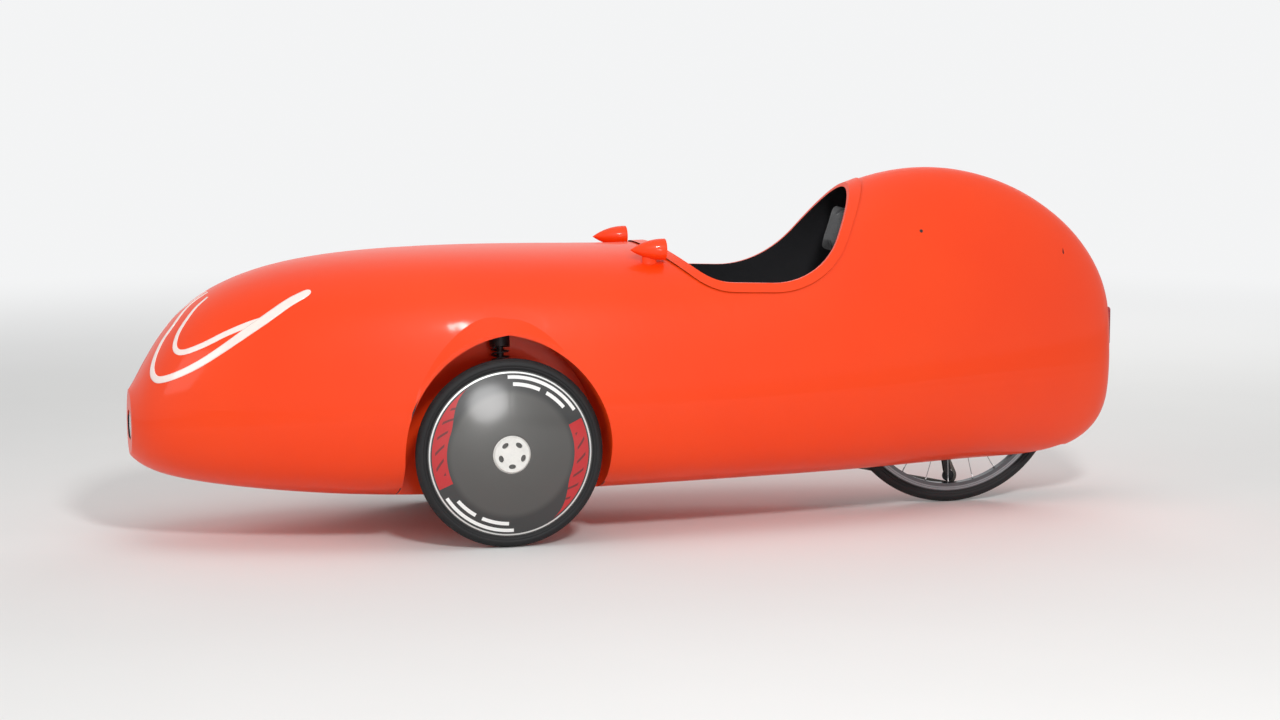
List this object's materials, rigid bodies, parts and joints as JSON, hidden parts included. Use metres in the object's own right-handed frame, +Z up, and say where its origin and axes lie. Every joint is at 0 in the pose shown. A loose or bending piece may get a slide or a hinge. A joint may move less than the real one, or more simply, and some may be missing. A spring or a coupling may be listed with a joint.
{
  "type": "velomobile",
  "caption": "Enclosed recumbent tricycle with a smooth orange-red shell, disc-covered front wheels, an open cockpit and a rear wheel under the tail.",
  "frame": {"origin": "on the ground, under the middle of the bounding box", "axes": "+X forward, +Y to the rider's left, +Z up"},
  "size_m": [2.632, 0.7586, 0.901],
  "materials": {
    "body_paint": "gloss",
    "tyre": "matte",
    "disc_black": "gloss",
    "cap_white": "gloss",
    "alloy": "satin",
    "black_alloy": "satin",
    "steel": "satin",
    "inner_shell": "matte",
    "pad_fabric": "matte",
    "grip_rubber": "matte",
    "clear_cover": "gloss",
    "lamp_white": "gloss",
    "lamp_red": "gloss",
    "mirror_face": "mirror"
  },
  "bodies": {
    "hull": {"hull_upper": "body_paint", "hull_lower": "body_paint", "wheel_box_left": "body_paint", "wheel_box_right": "body_paint", "top_mount_left": "black_alloy", "top_mount_right": "black_alloy", "lower_arm_left": "alloy", "lower_arm_right": "alloy", "steering_bridge": "alloy", "bulkhead": "inner_shell", "swingarm": "alloy", "shock": "black_alloy", "rear_axle": "steel", "rear_mech": "black_alloy", "chain": "steel", "chain_idler": "black_alloy", "crank_mast": "alloy", "seat_shell": "inner_shell", "seat_pad": "pad_fabric", "headrest": "pad_fabric", "nose_cover": "clear_cover", "nose_lamp": "lamp_white", "tail_lamp": "lamp_red", "mirror_pod_left": "body_paint", "mirror_pod_right": "body_paint", "mirror_glass_left": "mirror_face", "mirror_glass_right": "mirror_face"},
    "steer_left": {"strut_left": "black_alloy", "axle_left": "steel", "brake_plate_left": "black_alloy"},
    "steer_right": {"strut_right": "black_alloy", "axle_right": "steel", "brake_plate_right": "black_alloy"},
    "wheel_front_left": {"front_tyre_left": "tyre", "front_disc_left": "disc_black", "front_hub_left": "alloy", "hub_cap_left": "cap_white"},
    "wheel_front_right": {"front_tyre_right": "tyre", "front_disc_right": "disc_black", "front_hub_right": "alloy", "hub_cap_right": "cap_white"},
    "tie_left": {"tie_rod_left": "alloy"},
    "tie_right": {"tie_rod_right": "alloy"},
    "tiller_bar": {"tiller": "alloy", "grip_left": "grip_rubber", "grip_right": "grip_rubber"},
    "wheel_rear": {"rear_tyre": "tyre", "rear_rim": "alloy", "rear_spokes": "steel", "rear_hub": "alloy"},
    "cranks": {"crankset": "alloy"},
    "pedal_left_body": {"pedal_left": "grip_rubber"},
    "pedal_right_body": {"pedal_right": "grip_rubber"}
  },
  "joints": [
    {"name": "steer_left_hinge", "type": "hinge", "parent": "hull", "child": "steer_left", "pos_m": [0.418, 0.33, 0], "axis": [0, -0.2079, 0.9781], "range_deg": [-14, 14]},
    {"name": "steer_right_hinge", "type": "hinge", "parent": "hull", "child": "steer_right", "pos_m": [0.418, -0.33, 0], "axis": [0, 0.2079, 0.9781], "range_deg": [-14, 14]},
    {"name": "tiller_hinge", "type": "hinge", "parent": "hull", "child": "tiller_bar", "pos_m": [0.418, 0, 0.16], "axis": [0, 0, 1], "range_deg": [-14, 14]},
    {"name": "tie_left_hinge", "type": "hinge", "parent": "steer_left", "child": "tie_left", "pos_m": [0.358, 0.29199, 0.1788], "axis": [0.0426, -0.2072, 0.9774], "range_deg": [-15, 15]},
    {"name": "tie_right_hinge", "type": "hinge", "parent": "steer_right", "child": "tie_right", "pos_m": [0.358, -0.29199, 0.1788], "axis": [0.0426, 0.2072, 0.9774], "range_deg": [-15, 15]},
    {"name": "front_left_spin", "type": "hinge", "parent": "steer_left", "child": "wheel_front_left", "pos_m": [0.418, 0.34, 0.235], "axis": [0, 1, 0], "continuous": true},
    {"name": "front_right_spin", "type": "hinge", "parent": "steer_right", "child": "wheel_front_right", "pos_m": [0.418, -0.34, 0.235], "axis": [0, 1, 0], "continuous": true},
    {"name": "rear_spin", "type": "hinge", "parent": "hull", "child": "wheel_rear", "pos_m": [-0.858, 0, 0.311], "axis": [0, 1, 0], "continuous": true},
    {"name": "crank_spin", "type": "hinge", "parent": "hull", "child": "cranks", "pos_m": [0.888, 0, 0.385], "axis": [0, 1, 0], "continuous": true},
    {"name": "pedal_left_spin", "type": "hinge", "parent": "cranks", "child": "pedal_left_body", "pos_m": [1.038, 0.114, 0.385], "axis": [0, 1, 0], "continuous": true},
    {"name": "pedal_right_spin", "type": "hinge", "parent": "cranks", "child": "pedal_right_body", "pos_m": [0.738, -0.114, 0.385], "axis": [0, 1, 0], "continuous": true}
  ],
  "couplings": [
    {"joint": "steer_right_hinge", "follows": "steer_left_hinge", "ratio": 1},
    {"joint": "tiller_hinge", "follows": "steer_left_hinge", "ratio": 1},
    {"joint": "tie_left_hinge", "follows": "steer_left_hinge", "ratio": -1.0557},
    {"joint": "tie_right_hinge", "follows": "steer_left_hinge", "ratio": -1.0557}
  ]
}
